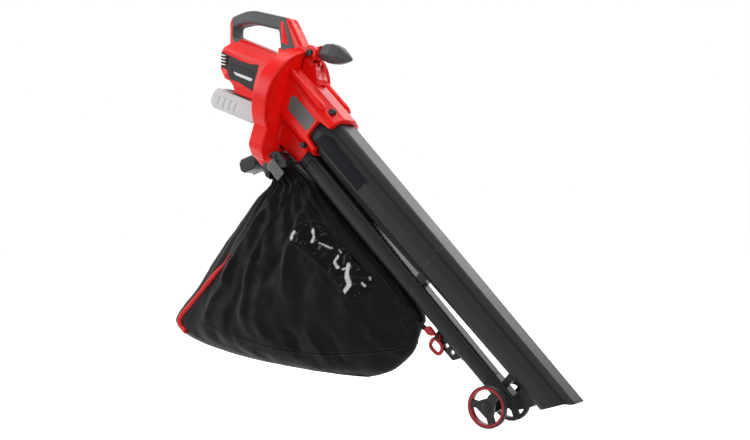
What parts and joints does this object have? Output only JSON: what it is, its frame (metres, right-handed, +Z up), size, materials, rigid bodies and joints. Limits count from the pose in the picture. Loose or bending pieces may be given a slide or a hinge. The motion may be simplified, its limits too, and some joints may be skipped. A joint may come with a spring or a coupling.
{
  "type": "leaf vacuum mulcher",
  "caption": "Cordless leaf vacuum, mulcher and blower with twin tubes, nozzle wheels, collecting bag and loop handle.",
  "frame": {"origin": "middle of the main grip, in the machine's symmetry plane of the tubes", "axes": "+X forward to the nozzle, +Y to the operator's left, +Z up; pose as held in use"},
  "size_m": [1.0238, 0.2315, 0.863],
  "materials": {
    "red_shell": "moulded, glossy",
    "soft_dark": "soft matt overmould",
    "dark_plastic": "satin black moulding",
    "grey_plastic": "ribbed grey",
    "battery_case": "pale grey moulding",
    "board_green": "circuit board",
    "steel": "machined steel",
    "hook_red": "moulded red",
    "ring_red": "crimson moulding",
    "tyre_black": "black tyre",
    "bag_cloth": "coated woven bag"
  },
  "bodies": {
    "body": {"handle_housing_right": "red_shell", "handle_housing_left": "red_shell", "soft_grip": "soft_dark", "side_panel_right": "dark_plastic", "side_panel_left": "dark_plastic", "battery_rails": "dark_plastic", "terminal_block": "dark_plastic", "control_board": "board_green", "switch_body": "dark_plastic", "fan_housing_right": "red_shell", "fan_housing_left": "red_shell", "strap_eye": "steel", "motor_can": "steel", "motor_stator": "steel", "rear_bearing": "steel", "front_bearing": "steel", "blow_duct": "red_shell", "duct_collar": "dark_plastic", "intake_neck": "red_shell", "neck_plate": "dark_plastic", "suction_tube_upper": "dark_plastic", "suction_tube_lower": "dark_plastic", "blow_tube_upper": "dark_plastic", "blow_tube_lower": "dark_plastic", "tube_link": "dark_plastic", "wheel_bracket": "dark_plastic", "wheel_axle": "steel", "axle_cap_right": "dark_plastic", "axle_cap_left": "dark_plastic", "hook_rail": "dark_plastic", "bag_collar": "dark_plastic", "latch_bracket": "dark_plastic", "latch_pin": "steel", "leaf_bag": "bag_cloth", "pivot_bolt": "dark_plastic"},
    "rotor": {"impeller": "dark_plastic", "shredder_blade": "steel", "blade_nut": "steel", "motor_rotor": "steel", "motor_shaft": "steel"},
    "diverter": {"diverter_shaft": "steel", "diverter_flap": "dark_plastic", "selector_lever": "dark_plastic"},
    "forward_grip": {"grip_yoke": "red_shell", "front_grip": "soft_dark"},
    "battery": {"battery_pack": "battery_case"},
    "battery_release": {"battery_button": "grey_plastic"},
    "power_switch": {"power_slider": "dark_plastic"},
    "speed_control": {"speed_dial": "dark_plastic"},
    "bag_latch": {"latch_lever": "grey_plastic"},
    "bag_hook": {"hook_ring": "hook_red"},
    "upper_knob": {"clamp_knob_upper": "dark_plastic"},
    "lower_knob": {"clamp_knob_lower": "dark_plastic"},
    "right_wheel": {"wheel_hub_right": "dark_plastic", "wheel_ring_right": "ring_red", "wheel_tyre_right": "tyre_black"},
    "left_wheel": {"wheel_hub_left": "dark_plastic", "wheel_ring_left": "ring_red", "wheel_tyre_left": "tyre_black"}
  },
  "joints": [
    {"name": "rotor_spin", "type": "hinge", "parent": "body", "child": "rotor", "pos_m": [0.08442, 0, -0.1686], "axis": [0.9397, 0, -0.342], "continuous": true},
    {"name": "air_selector", "type": "hinge", "parent": "body", "child": "diverter", "pos_m": [0.04602, 0, -0.28871], "axis": [0, 1, 0], "range_deg": [0, 42]},
    {"name": "grip_tilt", "type": "hinge", "parent": "body", "child": "forward_grip", "pos_m": [0.145, 0, -0.089], "axis": [0, 1, 0], "range_deg": [-60, 10]},
    {"name": "battery_slide", "type": "slide", "parent": "body", "child": "battery", "axis": [-0.9397, 0, 0.342], "range_m": [0, 0.06]},
    {"name": "battery_press", "type": "slide", "parent": "battery", "child": "battery_release", "axis": [-0.342, 0, -0.9397], "range_m": [0, 0.003], "stiffness_N_per_m": 400},
    {"name": "switch_slide", "type": "slide", "parent": "body", "child": "power_switch", "axis": [0, 0, 1], "range_m": [0, 0.006]},
    {"name": "dial_turn", "type": "hinge", "parent": "body", "child": "speed_control", "pos_m": [0.076, 0.016, -0.027], "axis": [0, 1, 0], "range_deg": [0, 270]},
    {"name": "latch_press", "type": "hinge", "parent": "body", "child": "bag_latch", "pos_m": [0.07645, -0.058, -0.3331], "axis": [0.7009, 0, 0.7133], "range_deg": [0, 8], "stiffness_Nm_per_rad": 0.2},
    {"name": "hook_swing", "type": "hinge", "parent": "body", "child": "bag_hook", "pos_m": [0.46276, -0.008, -0.68188], "axis": [0, 1, 0], "range_deg": [-40, 40]},
    {"name": "upper_knob_turn", "type": "hinge", "parent": "body", "child": "upper_knob", "pos_m": [0.21832, -0.032, -0.22155], "axis": [0, 1, 0], "range_deg": [-90, 90]},
    {"name": "lower_knob_turn", "type": "hinge", "parent": "body", "child": "lower_knob", "pos_m": [0.15173, -0.047, -0.28931], "axis": [0, 1, 0], "range_deg": [-90, 90]},
    {"name": "right_wheel_spin", "type": "hinge", "parent": "body", "child": "right_wheel", "pos_m": [0.597, -0.044, -0.801], "axis": [0, 1, 0], "continuous": true},
    {"name": "left_wheel_spin", "type": "hinge", "parent": "body", "child": "left_wheel", "pos_m": [0.597, 0.044, -0.801], "axis": [0, 1, 0], "continuous": true}
  ]
}
